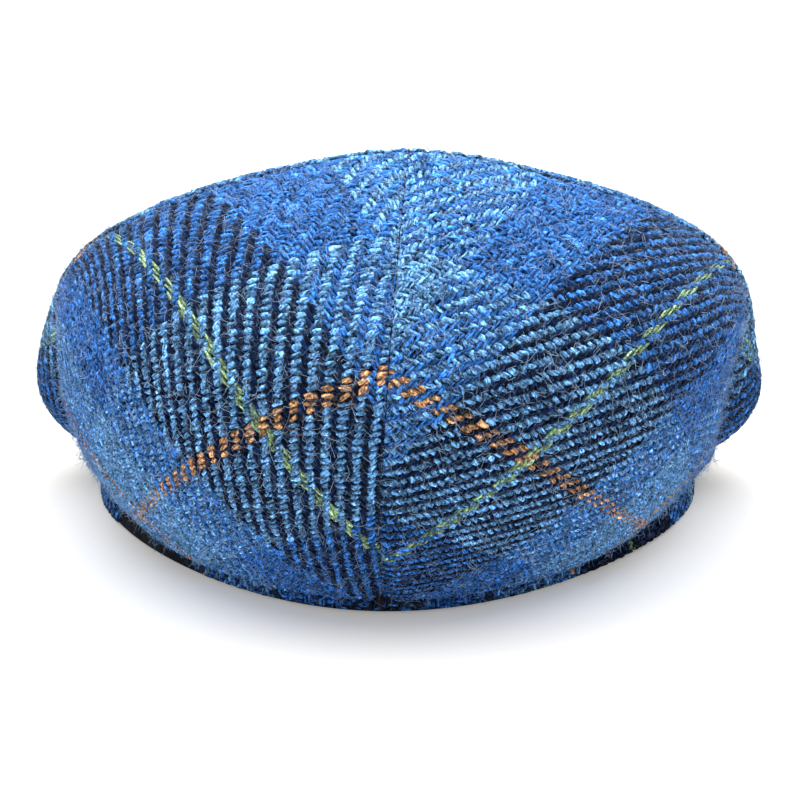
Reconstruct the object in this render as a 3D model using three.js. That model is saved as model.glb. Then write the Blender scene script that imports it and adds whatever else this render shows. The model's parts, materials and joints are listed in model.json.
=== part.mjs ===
// A tweed flat cap: two side panels joined at the centre back, a top panel, a rim band and a peak.
// Millimetres, +Z up. The back of the cap faces -Y, the peak points to +Y and the rim rests on Z = 0.
import * as THREE from 'three';

const { degToRad, lerp } = THREE.MathUtils;

// Driving dimensions
const CLOTH = 2;                  // thickness of the tweed walls
const GAP = 0.4;                  // clear space kept between neighbouring pieces
const RIM_HALF_WIDTH = 94.5;      // head opening, measured outside the band
const RIM_HALF_LENGTH = 90;
const RIM_SKEW = 0.31;            // radians, makes the oval an egg that is widest towards the front
const BAND_HEIGHT = 22;
const PEAK_THICKNESS = 3;
const PEAK_HORN_ANGLE = 115;      // degrees round the rim where the peak's horns end
const PEAK_HALF_WIDTH = 95;       // its outer edge is half an ellipse from horn to horn
const PEAK_PROJECTION = 51;       // how far it stands out from the front of the rim
const PEAK_HORN_Z = 6;            // its upper face at the horns
const PEAK_ARCH = 3.4;            // how much higher that face is in the middle, at the rim
const PEAK_DROP = 2.4;            // how far it falls from the rim to the outer edge
const CROWN_HALF_WIDTH = 115;
const SEAM_LEAN = 0.064;          // sideways lean of the centre back seam for each millimetre of height
const LEAN_FROM_Z = 30;           // height where that lean begins

// The side panel, a row for each section from the centre back (first) to its front end (last).
// rim: angle round the rim, degrees. tuckZ: its lower edge. bulge and bulgeZ: its fullest point,
// as a distance out from the rim and a height.
const SIDE_SECTIONS = [
  { rim: 0, tuckZ: 5, bulge: 31, bulgeZ: 64 },
  { rim: 30, tuckZ: 5, bulge: 30, bulgeZ: 65 },
  { rim: 53, tuckZ: 6, bulge: 26, bulgeZ: 66 },
  { rim: 72, tuckZ: 10, bulge: 19, bulgeZ: 62 },
  { rim: 87, tuckZ: 12, bulge: 10.5, bulgeZ: 44 },
  { rim: 99, tuckZ: 11, bulge: 5.6, bulgeZ: 15 },
  { rim: 116, tuckZ: 8.7, bulge: 3.8, bulgeZ: 9.4 },
];
const UPPER_ARC = degToRad(62);   // arc of the side panel from its bulge to the seam
const LOWER_FULLNESS = 0.45;      // how full the side panel is below its bulge
const BULGE_SHARE = 0.4;          // share of the side panel's steps that lie below its bulge

// The top panel, a row for each section from its back end (first) to its front end (last).
// edgeX, edgeY, edgeZ: its edge, which is the side panel's seam in as many rows as that panel has
// and then the line where the crown lands on the peak. spineY, spineZ: its middle line.
// roll: degrees that a section turns through from the spine to the edge; past 90 it tucks under.
const TOP_SECTIONS = [
  { edgeX: 0, edgeY: -43, edgeZ: 116, spineY: -43, spineZ: 116, roll: 60 },
  { edgeX: 48, edgeY: -37, edgeZ: 106, spineY: -33, spineZ: 112, roll: 70 },
  { edgeX: 79, edgeY: -26, edgeZ: 92, spineY: -13, spineZ: 104, roll: 82 },
  { edgeX: 97, edgeY: -14, edgeZ: 75, spineY: 13, spineZ: 93, roll: 92 },
  { edgeX: 101.5, edgeY: 0, edgeZ: 49, spineY: 41, spineZ: 80, roll: 109 },
  { edgeX: 99, edgeY: 17, edgeZ: 17, spineY: 67, spineZ: 65, roll: 121 },
  { edgeX: 98, edgeY: 42, edgeZ: 10.4, spineY: 88, spineZ: 50, roll: 115 },
  { edgeX: 82, edgeY: 80, edgeZ: 9, spineY: 102, spineZ: 38, roll: 109 },
  { edgeX: 50, edgeY: 109, edgeZ: 9.2, spineY: 113, spineZ: 26, roll: 102 },
  { edgeX: 0, edgeY: 121, edgeZ: 9.2, spineY: 121, spineZ: 9.2, roll: 96 },
];
const ODD_COLUMNS = ['rim', 'edgeX'];   // columns that change sign across the middle of the cap

// Mesh steps
const STEPS_PER_ROW = 4;
const SIDE_STEPS = 14;
const TOP_STEPS = 20;
const BAND_STEPS = 84;
const PEAK_STEPS_ROUND = 32;
const PEAK_STEPS_OUT = 6;
const SAME_POINT = 1e-6;

const tweed = new THREE.MeshStandardMaterial({ color: 0x2f62b4, roughness: 0.95, metalness: 0 });
const shadedTweed = new THREE.MeshStandardMaterial({ color: 0x22386e, roughness: 0.95, metalness: 0 });

// One column of a table at a fractional row, as a smooth curve through the rows. The first row lies on
// the cap's middle line, and so does a last row with an edgeX of 0: there the curve is mirrored.
function column(table, name, row) {
  const last = table.length - 1;
  const i = Math.min(Math.floor(row), last - 1);
  const f = row - i;
  const sign = ODD_COLUMNS.includes(name) ? -1 : 1;
  const b = table[i][name];
  const c = table[i + 1][name];
  const a = i > 0 ? table[i - 1][name] : sign * table[1][name];
  const beyond = table[last].edgeX === 0 ? sign * b : 2 * c - b;
  const d = i + 2 <= last ? table[i + 2][name] : beyond;
  return b + 0.5 * f * (c - a + f * (2 * a - 5 * b + 4 * c - d + f * (3 * (b - c) + d - a)));
}

// A point of the rim's plan at an angle from the back, moved straight out by some distance
function rimPoint(degrees, out, z) {
  const a = degToRad(degrees);
  const skewed = a - RIM_SKEW * Math.sin(a);
  const alongX = RIM_HALF_WIDTH * Math.cos(skewed) * (1 - RIM_SKEW * Math.cos(a));
  const alongY = RIM_HALF_LENGTH * Math.sin(a);
  const outwards = new THREE.Vector2(alongY, -alongX).setLength(out);
  const x = RIM_HALF_WIDTH * Math.sin(skewed) + outwards.x;
  const y = -RIM_HALF_LENGTH * Math.cos(a) + outwards.y;
  return new THREE.Vector3(x, y, z);
}

// The top panel's right edge at a section row
function topEdge(row) {
  const x = column(TOP_SECTIONS, 'edgeX', row);
  const y = column(TOP_SECTIONS, 'edgeY', row);
  const z = column(TOP_SECTIONS, 'edgeZ', row);
  return new THREE.Vector3(x, y, z);
}

// The right side panel at a section row, from its tuck over the band (v = 0) to its seam (v = 1)
function sidePoint(row, v) {
  const rim = column(SIDE_SECTIONS, 'rim', row);
  const tuck = rimPoint(rim, GAP + CLOTH, column(SIDE_SECTIONS, 'tuckZ', row));
  const bulge = rimPoint(rim, column(SIDE_SECTIONS, 'bulge', row), column(SIDE_SECTIONS, 'bulgeZ', row));
  if (v < BULGE_SHARE) {
    const turn = bulge.clone().setZ(lerp(tuck.z, bulge.z, LOWER_FULLNESS));
    return new THREE.QuadraticBezierCurve3(tuck, turn, bulge).getPoint(v / BULGE_SHARE);
  }
  const angle = UPPER_ARC * (v - BULGE_SHARE) / (1 - BULGE_SHARE);
  const across = (1 - Math.cos(angle)) / (1 - Math.cos(UPPER_ARC));
  const up = Math.sin(angle) / Math.sin(UPPER_ARC);
  const point = bulge.clone().lerp(topEdge(row), across);
  return point.setZ(lerp(bulge.z, topEdge(row).z, up));
}

// The top panel at a section row, from its right edge (w = 1) over the spine to its left edge (w = -1)
function topPoint(row, w) {
  const edge = topEdge(row);
  const roll = degToRad(column(TOP_SECTIONS, 'roll', row));
  const angle = roll * w;
  const rise = (Math.cos(angle) - Math.cos(roll)) / (1 - Math.cos(roll));
  const x = edge.x * Math.sin(angle) / Math.sin(roll);
  const y = lerp(column(TOP_SECTIONS, 'spineY', row), edge.y, Math.abs(w));
  const z = lerp(edge.z, column(TOP_SECTIONS, 'spineZ', row), rise);
  return new THREE.Vector3(x, y, z);
}

// The peak's upper face: round from the left horn to the right (t), and out from the rim to its edge (f)
function peakPoint(t, f) {
  const inner = rimPoint(lerp(360 - PEAK_HORN_ANGLE, PEAK_HORN_ANGLE, t), GAP, 0);
  const hornY = rimPoint(PEAK_HORN_ANGLE, GAP, 0).y;
  const angle = Math.PI * (t - 0.5);
  const outerX = PEAK_HALF_WIDTH * Math.sin(angle);
  const outerY = lerp(hornY, RIM_HALF_LENGTH + PEAK_PROJECTION, Math.cos(angle));
  const z = PEAK_HORN_Z + (PEAK_ARCH - PEAK_DROP * f * f) * Math.cos(angle);
  return inner.lerp(new THREE.Vector3(outerX, outerY, 0), f).setZ(z);
}

// Rows of points over a face, from a function of two shares that run from 0 to 1
function grid(rows, columns, pointAt) {
  return Array.from({ length: rows + 1 }, (_, i) =>
    Array.from({ length: columns + 1 }, (__, j) => pointAt(i / rows, j / columns)));
}

function mapGrid(points, change) {
  return points.map((line, i) => line.map((point, j) => change(point, i, j)));
}

function gridNormals(points) {
  const lastRow = points.length - 1;
  const lastColumn = points[0].length - 1;
  return mapGrid(points, (_, i, j) => {
    const ahead = points[Math.min(i + 1, lastRow)][j].clone().sub(points[Math.max(i - 1, 0)][j]);
    const beside = points[i][Math.min(j + 1, lastColumn)].clone().sub(points[i][Math.max(j - 1, 0)]);
    return ahead.cross(beside).normalize();
  });
}

// A row whose points all meet takes one normal, the mean of the row next to it
function poleNormal(row, nextRow) {
  const sum = nextRow.reduce((total, normal) => total.add(normal), new THREE.Vector3());
  row.forEach((normal) => normal.copy(sum).normalize());
}

// The crown sits a little askew: its middle leans sideways with height and its sides stay put
function lean(point) {
  const middle = Math.max(0, 1 - (point.x / CROWN_HALF_WIDTH) ** 2);
  const aside = SEAM_LEAN * Math.max(0, point.z - LEAN_FROM_Z) * middle;
  return point.clone().setX(point.x + aside);
}

// A closed wall: an outer face, an inner face one thickness further in, and the edges between them
function wall(face, normals, thickness) {
  const outer = mapGrid(face, lean);
  const inner = mapGrid(face, (point, i, j) =>
    lean(point.clone().addScaledVector(normals[i][j], -thickness)));
  const corners = [];
  const triangle = (a, b, c) => {
    const shortest = Math.min(a.distanceTo(b), b.distanceTo(c), c.distanceTo(a));
    if (shortest > SAME_POINT) corners.push(a, b, c);
  };
  const quad = (a, b, c, d) => {
    triangle(a, b, c);
    triangle(a, c, d);
  };
  const rows = face.length - 1;
  const columns = face[0].length - 1;
  for (let i = 0; i < rows; i += 1) {
    for (let j = 0; j < columns; j += 1) {
      quad(outer[i][j], outer[i + 1][j], outer[i + 1][j + 1], outer[i][j + 1]);
      quad(inner[i][j], inner[i][j + 1], inner[i + 1][j + 1], inner[i + 1][j]);
    }
    quad(outer[i][0], inner[i][0], inner[i + 1][0], outer[i + 1][0]);
    quad(outer[i][columns], outer[i + 1][columns], inner[i + 1][columns], inner[i][columns]);
  }
  for (let j = 0; j < columns; j += 1) {
    quad(outer[0][j], outer[0][j + 1], inner[0][j + 1], inner[0][j]);
    quad(outer[rows][j], inner[rows][j], inner[rows][j + 1], outer[rows][j + 1]);
  }
  return new THREE.BufferGeometry().setFromPoints(corners);
}

// The panels' faces
const sideRows = SIDE_SECTIONS.length - 1;
const topRows = TOP_SECTIONS.length - 1;
const sideFace = grid(sideRows * STEPS_PER_ROW, SIDE_STEPS, (s, v) => sidePoint(s * sideRows, v));
const topFace = grid(topRows * STEPS_PER_ROW, TOP_STEPS, (s, f) => topPoint(s * topRows, 1 - 2 * f));
const sideNormals = gridNormals(sideFace);
const topNormals = gridNormals(topFace);
sideNormals[0].forEach((normal) => normal.setX(0).normalize());
poleNormal(topNormals[0], topNormals[1]);
poleNormal(topNormals.at(-1), topNormals.at(-2));

// Along the seam both panels take one normal, and each stands back from the seam by half the gap
sideFace.forEach((line, i) => {
  const row = i / STEPS_PER_ROW;
  const along = topEdge(row + 0.5).sub(topEdge(Math.max(row - 0.5, 0)));
  if (i === 0) along.set(1, 0, 0);
  const normal = sideNormals[i].at(-1).clone().add(topNormals[i][0]).normalize();
  const aside = normal.clone().cross(along).setLength(GAP / 2);
  line.at(-1).sub(aside);
  sideNormals[i].at(-1).copy(normal);
  [0, TOP_STEPS].forEach((edge) => {
    const mirror = edge === 0 ? 1 : -1;
    const turned = new THREE.Vector3(mirror, 1, 1);
    topFace[i][edge].add(aside.clone().multiply(turned));
    topNormals[i][edge].copy(normal).multiply(turned);
  });
});
sideFace[0].forEach((point) => point.setX(GAP / 2));
topFace[0].forEach((point) => point.copy(topFace[0][0]).setX(0));
poleNormal(topNormals[0], topNormals[1]);

const flip = (vector) => vector.clone().setX(-vector.x);
const leftFace = mapGrid(sideFace, flip).reverse();
const leftNormals = mapGrid(sideNormals, flip).reverse();
const peakFace = grid(PEAK_STEPS_ROUND, PEAK_STEPS_OUT, peakPoint);

// The band is a ring of the rim's plan, raised to its height
function bandGeometry() {
  const ring = (out) => Array.from({ length: BAND_STEPS }, (_, i) => {
    const point = rimPoint(360 * i / BAND_STEPS, out, 0);
    return new THREE.Vector2(point.x, point.y);
  });
  const outline = new THREE.Shape(ring(0));
  outline.holes.push(new THREE.Path(ring(-CLOTH)));
  return new THREE.ExtrudeGeometry(outline, { depth: BAND_HEIGHT, bevelEnabled: false });
}

function piece(name, geometry, material) {
  const mesh = new THREE.Mesh(geometry, material);
  mesh.name = name;
  return mesh;
}

const cap = new THREE.Group();
cap.add(
  piece('side_panel_right', wall(sideFace, sideNormals, CLOTH), tweed),
  piece('side_panel_left', wall(leftFace, leftNormals, CLOTH), tweed),
  piece('top_panel', wall(topFace, topNormals, CLOTH), tweed),
  piece('rim_band', bandGeometry(), shadedTweed),
  piece('peak', wall(peakFace, gridNormals(peakFace), PEAK_THICKNESS), tweed),
);

// The origin lies under the middle of the whole cap
const box = new THREE.Box3().setFromObject(cap);
const centre = box.getCenter(new THREE.Vector3());
cap.position.set(-centre.x, -centre.y, -box.min.z);

export default cap;
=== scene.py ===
"""A flat cap of blue tartan tweed on a pale floor, seen from behind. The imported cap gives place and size."""
import json

import bpy
import numpy as np
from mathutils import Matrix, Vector

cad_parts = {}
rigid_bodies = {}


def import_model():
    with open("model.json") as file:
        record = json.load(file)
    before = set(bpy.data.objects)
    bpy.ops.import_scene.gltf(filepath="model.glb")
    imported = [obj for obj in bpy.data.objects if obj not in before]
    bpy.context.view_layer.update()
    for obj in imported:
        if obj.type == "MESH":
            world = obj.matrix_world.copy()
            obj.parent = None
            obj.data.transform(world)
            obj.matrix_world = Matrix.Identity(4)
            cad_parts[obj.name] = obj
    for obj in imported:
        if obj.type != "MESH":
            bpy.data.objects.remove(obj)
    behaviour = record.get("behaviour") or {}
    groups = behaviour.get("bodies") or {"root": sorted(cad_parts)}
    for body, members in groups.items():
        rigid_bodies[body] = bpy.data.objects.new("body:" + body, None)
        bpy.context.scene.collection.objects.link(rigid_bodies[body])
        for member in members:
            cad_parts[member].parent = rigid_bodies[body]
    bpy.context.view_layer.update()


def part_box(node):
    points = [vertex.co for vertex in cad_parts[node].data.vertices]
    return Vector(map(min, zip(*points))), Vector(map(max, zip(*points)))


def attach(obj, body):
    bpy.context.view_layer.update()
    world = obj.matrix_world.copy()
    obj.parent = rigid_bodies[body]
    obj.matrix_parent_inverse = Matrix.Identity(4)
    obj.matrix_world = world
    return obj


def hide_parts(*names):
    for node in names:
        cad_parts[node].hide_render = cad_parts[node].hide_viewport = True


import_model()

# Side panels
# Two curved panels of heavy wool twill, cut on the slant and sewn together in the centre back seam.
# Each is a smooth wall of cloth, with every float of yarn on its face as a small plump body of its own.
MM = 0.001
CLOTH = 2.0                       # thickness of the cloth, like all sizes here in millimetres
rim_low, rim_high = (np.array(corner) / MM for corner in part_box("rim_band"))
CAP_PLACE = np.array([*(rim_low + rim_high)[:2] / 2, rim_low[2]])
RIM_HALF_WIDTH, RIM_HALF_LENGTH = (rim_high - rim_low)[:2] / 2
RIM_SKEW = 0.31                   # radians, makes the rim's oval an egg that is widest towards the front
CROWN_HALF_WIDTH = 115.0
SEAM_LEAN = 0.064                 # sideways lean of the centre back seam for each millimetre of height
LEAN_FROM_Z = 30.0
SHOULDER_SPREAD = 3.6             # how far the right shoulder of the crown has slumped outwards
SHOULDER_X = (25.0, 85.0)         # where that sets in and where it is full
SHOULDER_Z = (84.0, 27.0)         # its height, and how far it reaches up and down
BAND_GAP = 0.4                    # small gap that the panels and the peak keep from the band

# A row for each section from the centre back to the front end: angle round the rim, height of the tuck
# over the band, and the fullest point as a distance out from the rim and a height
SIDE_SECTIONS = dict(
    rim=(0, 30, 53, 72, 87, 99, 116),
    tuck_z=(5, 5, 6, 10, 12, 11, 8.7),
    bulge=(31, 30, 26, 19, 10.5, 5.6, 3.8),
    bulge_z=(64, 65, 66, 62, 44, 15, 9.4),
)
# The top panel's sections from back to front: its edge, its spine and the turn between them in degrees
TOP_SECTIONS = dict(
    edge_x=(0, 48, 79, 97, 101.5, 99, 98, 82, 50, 0),
    edge_y=(-43, -37, -26, -14, 0, 17, 42, 80, 109, 121),
    edge_z=(116, 106, 92, 75, 49, 17, 10.4, 9, 9.2, 9.2),
    spine_y=(-43, -33, -13, 13, 41, 67, 88, 102, 113, 121),
    spine_z=(116, 112, 104, 93, 80, 65, 50, 38, 26, 9.2),
    roll=(60, 70, 82, 92, 109, 121, 115, 109, 102, 96),
)
ODD_COLUMNS = ("rim", "edge_x")   # columns that change sign across the middle of the cap
UPPER_ARC = np.radians(62)        # arc of the side panel from its bulge to the top seam
LOWER_FULLNESS = 0.45
BULGE_SHARE = 0.4                 # share of the section that lies below its bulge
SIDE_STEPS = (400, 260)           # samples along the panel and up it, finer than a thread


def section_column(table, name, row):
    """One column of a table at fractional rows, as a smooth curve that is mirrored at the middle line."""
    values = table[name]
    sign = -1 if name in ODD_COLUMNS else 1
    closed = table.get("edge_x", (1,))[-1] == 0
    beyond = sign * values[-2] if closed else 2 * values[-1] - values[-2]
    values = np.array([sign * values[1], *values, beyond], float)
    i = np.clip(np.floor(row).astype(int), 0, len(values) - 4)
    f = row - i
    a, b, c, d = (values[i + k] for k in range(4))
    return b + 0.5 * f * (c - a + f * (2 * a - 5 * b + 4 * c - d + f * (3 * (b - c) + d - a)))


def blend(a, b, share):
    """The value that lies at some share of the way from a to b."""
    return a + (b - a) * share


def rim_point(degrees, out):
    """A point of the rim's plan at an angle from the back, moved straight out by some distance."""
    a = np.radians(degrees)
    skewed = a - RIM_SKEW * np.sin(a)
    along_x = RIM_HALF_WIDTH * np.cos(skewed) * (1 - RIM_SKEW * np.cos(a))
    along_y = RIM_HALF_LENGTH * np.sin(a)
    step = out / np.hypot(along_x, along_y)
    return RIM_HALF_WIDTH * np.sin(skewed) + along_y * step, -RIM_HALF_LENGTH * np.cos(a) - along_x * step


def side_point(row, v):
    """The right side panel at a section row, from its tuck over the band (v = 0) to the top seam (v = 1)."""
    rim, tuck_z, bulge, bulge_z = (section_column(SIDE_SECTIONS, name, row) for name in SIDE_SECTIONS)
    edge_x, edge_y, edge_z = (section_column(TOP_SECTIONS, "edge_" + axis, row) for axis in "xyz")
    tuck_x, tuck_y = rim_point(rim, CLOTH + BAND_GAP)
    bulge_x, bulge_y = rim_point(rim, bulge)
    f = np.clip(v / BULGE_SHARE, 0, 1)
    low = (1 - f) ** 2
    turn_z = blend(tuck_z, bulge_z, LOWER_FULLNESS)
    lower = (blend(bulge_x, tuck_x, low), blend(bulge_y, tuck_y, low),
             low * tuck_z + 2 * f * (1 - f) * turn_z + f * f * bulge_z)
    angle = UPPER_ARC * np.clip((v - BULGE_SHARE) / (1 - BULGE_SHARE), 0, 1)
    across = (1 - np.cos(angle)) / (1 - np.cos(UPPER_ARC))
    up = np.sin(angle) / np.sin(UPPER_ARC)
    upper = (blend(bulge_x, edge_x, across), blend(bulge_y, edge_y, across), blend(bulge_z, edge_z, up))
    return np.where((v < BULGE_SHARE)[..., None], np.stack(lower, -1), np.stack(upper, -1))


def ease(value, start, end):
    """A share that grows from 0 to 1 between two values, and sets in and ends softly."""
    share = np.clip((value - start) / (end - start), 0, 1)
    return share * share * (3 - 2 * share)


def lean(points):
    """The crown sits a little askew: its middle leans with height and its right shoulder is fuller."""
    x, z = points[..., 0], points[..., 2]
    middle = np.maximum(0, 1 - (x / CROWN_HALF_WIDTH) ** 2)
    shoulder = ease(x, *SHOULDER_X) * np.exp(-((z - SHOULDER_Z[0]) / SHOULDER_Z[1]) ** 4)
    leant = points.copy()
    leant[..., 0] += SEAM_LEAN * np.maximum(0, z - LEAN_FROM_Z) * middle + SHOULDER_SPREAD * shoulder
    return leant


def run_length(points, axis):
    """Distance along the lines of a grid, from its first point."""
    step = np.linalg.norm(np.diff(points, axis=axis), axis=-1)
    return np.insert(np.cumsum(step, axis=axis), 0, 0, axis=axis)


def outward(points, side=1):
    """Unit normals of a grid of points, which point out of the cloth."""
    normal = np.cross(np.gradient(points, axis=0), np.gradient(points, axis=1))
    return side * normal / np.maximum(np.linalg.norm(normal, axis=-1, keepdims=True), 1e-9)


# The tartan: warp and weft threads from the middle of the orange line to the middle of the green line, where
# the order turns back, with the linear colour of each yarn
TARTAN = (
    ("orange", 1.5, 1.5, (0.43, 0.225, 0.105)),
    ("light blue", 24.0, 20.0, (0.100, 0.262, 0.510)),
    ("royal blue", 18.0, 32.0, (0.023, 0.116, 0.37)),
    ("navy", 22.0, 22.0, (0.002, 0.009, 0.038)),
    ("green", 1.5, 1.5, (0.20, 0.31, 0.16)),
)
YARN_COLOURS = np.array([colour for _, _, _, colour in TARTAN])
WARP_STRIPES = np.cumsum([threads for _, threads, _, _ in TARTAN])
WEFT_STRIPES = np.cumsum([threads for _, _, threads, _ in TARTAN])
WARP_PITCH = 1.12                 # millimetres from thread to thread where the cloth lies straight
WEFT_PITCH = 1.55


def stripe_colour(thread, stripes):
    """Yarn colour of a thread, counted from the middle of an orange line."""
    half_repeat = stripes[-1]
    from_orange = np.abs((thread + half_repeat) % (2 * half_repeat) - half_repeat)
    return YARN_COLOURS[np.minimum(np.searchsorted(stripes, from_orange), len(stripes) - 1)]


def mixed_colour(warp, weft):
    """Colour of the cloth from a distance, where warp and weft show alike."""
    return (stripe_colour(warp, WARP_STRIPES) + stripe_colour(weft, WEFT_STRIPES)).reshape(-1, 3) / 2


def add_node(tree, kind, sockets=None, **settings):
    """A new node with some of its settings and of its input sockets given."""
    node = tree.nodes.new(kind)
    for setting, value in settings.items():
        setattr(node, setting, value)
    for socket, value in (sockets or {}).items():
        node.inputs[socket].default_value = value
    return node


def map_range(tree, start, end, low=0.0, high=1.0):
    """A node that maps the values from a start to an end to those from low to high."""
    sockets = {"From Min": start, "From Max": end, "To Min": low, "To Max": high}
    return add_node(tree, "ShaderNodeMapRange", sockets)


def link_nodes(tree, *links):
    """Links outputs to inputs: for each link a node and its output, then a node and its input."""
    for source, output, target, socket in links:
        tree.links.new(source.outputs[output], target.inputs[socket])


def new_material(name, sockets):
    """A new material with some sockets of its shader given, and with it its node tree and shader."""
    material = bpy.data.materials.new(name)
    material.use_nodes = True
    shader = material.node_tree.nodes["Principled BSDF"]
    for socket, value in sockets.items():
        shader.inputs[socket].default_value = value
    return material, material.node_tree, shader


# Scale of the curls, half width of a line, gain on the colour and added tone for each layer of lines on the
# yarn:
# dark ones, painted shade between the hairs, and pale hairs that lie flat on the yarn
HAIR_AND_SHADE_LINES = ((480.0, 0.042, 0.2, (0.0, 0.0, 0.0)), (330.0, 0.028, 1.5, (0.045, 0.072, 0.115)))
LINE_BREAKS = 0.8                 # scale of the breaks in the lines, as a share of that of their curls


def hair_and_shade_lines(tree, colour):
    """Lays thin curly lines over the colour that a node puts out, each where a noise passes its middle: dark
    painted shade and pale hairs.
    """
    place = add_node(tree, "ShaderNodeTexCoord")
    for scale, width, gain, added in HAIR_AND_SHADE_LINES:
        curls = add_node(tree, "ShaderNodeTexNoise", {"W": scale, "Scale": scale, "Detail": 1.0},
                         noise_dimensions="4D")
        breaks = add_node(tree, "ShaderNodeTexNoise", {"Scale": LINE_BREAKS * scale, "Detail": 0.0},
                          noise_dimensions="4D")
        from_middle = add_node(tree, "ShaderNodeMath", {1: 0.5}, operation="SUBTRACT")
        distance = add_node(tree, "ShaderNodeMath", operation="ABSOLUTE")
        line = map_range(tree, 0.0, width, 1.0, 0.0)
        shown = map_range(tree, 0.46, 0.54)
        share = add_node(tree, "ShaderNodeMath", operation="MULTIPLY")
        line_tone = add_node(tree, "ShaderNodeVectorMath", {1: (gain, gain, gain), 2: added},
                        operation="MULTIPLY_ADD")
        tone = add_node(tree, "ShaderNodeMix", data_type="RGBA")
        link_nodes(
            tree,
            (place, "Object", curls, "Vector"),
            (place, "Object", breaks, "Vector"),
            (curls, "Fac", from_middle, 0),
            (from_middle, "Value", distance, 0),
            (distance, "Value", line, "Value"),
            (breaks, "Fac", shown, "Value"),
            (line, "Result", share, 0),
            (shown, "Result", share, 1),
            (share, "Value", tone, "Factor"),
            (*colour, tone, "A"),
            (*colour, line_tone, 0),
            (line_tone, "Vector", tone, "B"),
        )
        colour = (tone, "Result")
    return colour


def yarn_material(name):
    """Wool yarn: the colour of its thread, streaked along the twist and mottled, with lines of painted shade
    and pale hairs over it and a soft hairy sheen.
    """
    material, tree, shader = new_material(name, {
        "Roughness": 0.92, "Specular IOR Level": 0.08,
        "Sheen Weight": 0.15, "Sheen Roughness": 0.3, "Sheen Tint": (0.85, 0.92, 1.0, 1.0),
    })
    dye = add_node(tree, "ShaderNodeAttribute", attribute_name="yarn_colour")
    along_yarn = add_node(tree, "ShaderNodeUVMap", uv_map="yarn")
    strands = add_node(tree, "ShaderNodeTexNoise", {"Scale": 0.9, "Detail": 3.0})
    place = add_node(tree, "ShaderNodeTexCoord")
    heather = add_node(tree, "ShaderNodeTexNoise", {"Scale": 1500.0, "Detail": 2.0})
    strand_shade = map_range(tree, 0.35, 0.65, 0.22, 1.88)
    heather_shade = map_range(tree, 0.35, 0.65, 0.28, 1.77)
    both = add_node(tree, "ShaderNodeMath", operation="MULTIPLY")
    dyed = add_node(tree, "ShaderNodeVectorMath", operation="SCALE")
    relief = add_node(tree, "ShaderNodeBump", {"Strength": 0.9, "Distance": 0.0004})
    link_nodes(
        tree,
        (along_yarn, "UV", strands, "Vector"),
        (place, "Object", heather, "Vector"),
        (strands, "Fac", strand_shade, "Value"),
        (heather, "Fac", heather_shade, "Value"),
        (strand_shade, "Result", both, 0),
        (heather_shade, "Result", both, 1),
        (dye, "Color", dyed, 0),
        (both, "Value", dyed, "Scale"),
        # Lines of painted shade and pale hairs over the streaked and mottled colour
        (*hair_and_shade_lines(tree, (dyed, "Vector")), shader, "Base Color"),
        (strands, "Fac", relief, "Height"),
        (relief, "Normal", shader, "Normal"),
    )
    return material


def backing_material(name):
    """The cloth behind the floats and on the inside of the cap: its mixed colour darkened as painted shade,
    with lines of painted shade and pale hairs and a fine twill bump.
    """
    material, tree, shader = new_material(name, {
        "Roughness": 0.95, "Specular IOR Level": 0.05,
        "Sheen Weight": 0.05, "Sheen Tint": (0.75, 0.85, 1.0, 1.0),
    })
    dye = add_node(tree, "ShaderNodeAttribute", attribute_name="yarn_colour")
    threads = add_node(tree, "ShaderNodeUVMap", uv_map="threads")
    ribs = add_node(tree, "ShaderNodeTexWave", {"Scale": 0.4, "Distortion": 1.5, "Detail": 2.0},
                    wave_type="BANDS", bands_direction="DIAGONAL")
    place = add_node(tree, "ShaderNodeTexCoord")
    heather = add_node(tree, "ShaderNodeTexNoise", {"Scale": 900.0, "Detail": 3.0})
    shade = map_range(tree, 0.3, 0.7, 0.4, 1.5)
    dyed = add_node(tree, "ShaderNodeVectorMath", operation="SCALE")
    relief = add_node(tree, "ShaderNodeBump", {"Strength": 0.7, "Distance": 0.0006})
    link_nodes(
        tree,
        (threads, "UV", ribs, "Vector"),
        (place, "Object", heather, "Vector"),
        (heather, "Fac", shade, "Value"),
        (dye, "Color", dyed, 0),
        (shade, "Result", dyed, "Scale"),
        # Lines of painted shade and pale hairs over the backing's colour
        (*hair_and_shade_lines(tree, (dyed, "Vector")), shader, "Base Color"),
        (ribs, "Fac", relief, "Height"),
        (relief, "Normal", shader, "Normal"),
    )
    return material


yarn = yarn_material("wool_yarn")
backing = backing_material("cloth_backing")


def dye_points(mesh, colours):
    """Gives each point of a mesh its yarn colour."""
    dye = mesh.color_attributes.new("yarn_colour", "FLOAT_COLOR", "POINT")
    dye.data.foreach_set("color", np.column_stack([colours, np.ones(len(colours))]).ravel())


def mesh_object(name, points, triangles, colours, maps, material):
    """A smooth mesh in the cap's place, from millimetre arrays, with a yarn colour and maps at each point."""
    mesh = bpy.data.meshes.new(name)
    mesh.vertices.add(len(points))
    mesh.vertices.foreach_set("co", ((points + CAP_PLACE) * MM).ravel())
    corners = triangles.ravel()
    mesh.loops.add(len(corners))
    mesh.loops.foreach_set("vertex_index", corners)
    mesh.polygons.add(len(triangles))
    mesh.polygons.foreach_set("loop_start", np.arange(0, len(corners), 3))
    mesh.update(calc_edges=True)
    mesh.validate()
    dye_points(mesh, colours)
    for map_name, values in maps.items():
        layer = mesh.uv_layers.new(name=map_name)
        layer.data.foreach_set("uv", values[corners].ravel())
    mesh.shade_smooth()
    mesh.materials.append(material)
    piece = bpy.data.objects.new(name, mesh)
    bpy.context.scene.collection.objects.link(piece)
    return piece


BACKING_DEPTH = 0.55              # how far the backing lies below the face that the floats stand on
BACKING_PAINTED_SHADE = 0.14                # painted shade: the backing is darkened far below the yarn over it, for the shade in the gaps between floats
WALL_STRIDE = 8                   # cells of the face's grid to one of the wall's


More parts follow.
